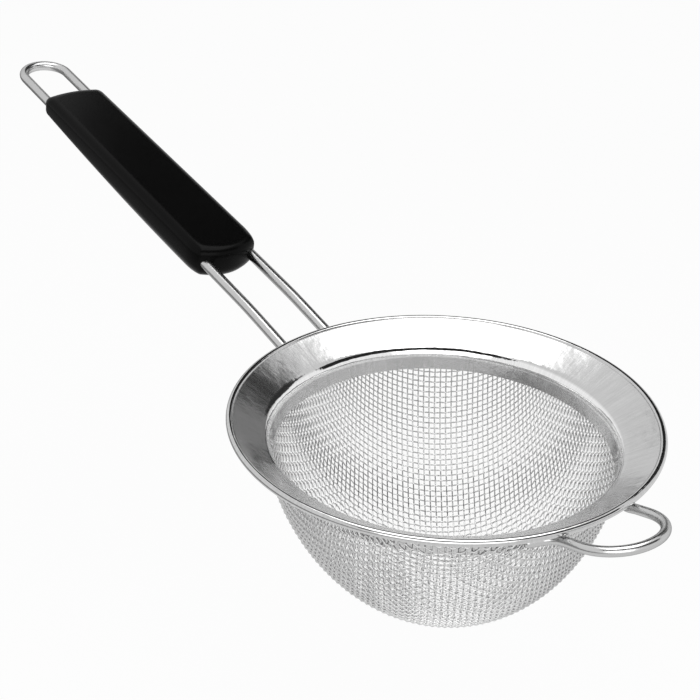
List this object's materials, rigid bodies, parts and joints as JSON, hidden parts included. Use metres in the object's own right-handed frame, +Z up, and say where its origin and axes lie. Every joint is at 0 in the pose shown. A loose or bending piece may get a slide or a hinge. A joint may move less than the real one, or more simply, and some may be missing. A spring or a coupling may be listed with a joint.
{
  "type": "flour sifter",
  "caption": "Hand-held round fine-mesh sifter: woven wire bowl in a flanged steel ring, bent rod handle with a moulded grip and hanging loop, and a wire rest loop opposite.",
  "frame": {"origin": "centre of the ring, level with the middle of its rolled bead", "axes": "+X from the handle to the rest loop, +Z up along the axis of the bowl, +Y to the left seen from the handle"},
  "size_m": [0.3061, 0.112, 0.0934],
  "materials": {
    "ring_steel": "polished stainless sheet with a faint grain across the flange",
    "wire_steel": "bright drawn stainless wire",
    "rod_steel": "polished stainless rod",
    "grip_plastic": "satin black moulded plastic"
  },
  "bodies": {
    "root": {"rim_ring": "ring_steel", "mesh_warp_wires": "wire_steel", "mesh_weft_wires": "wire_steel", "handle_frame": "rod_steel", "handle_grip": "grip_plastic", "front_ear": "rod_steel"}
  },
  "joints": []
}
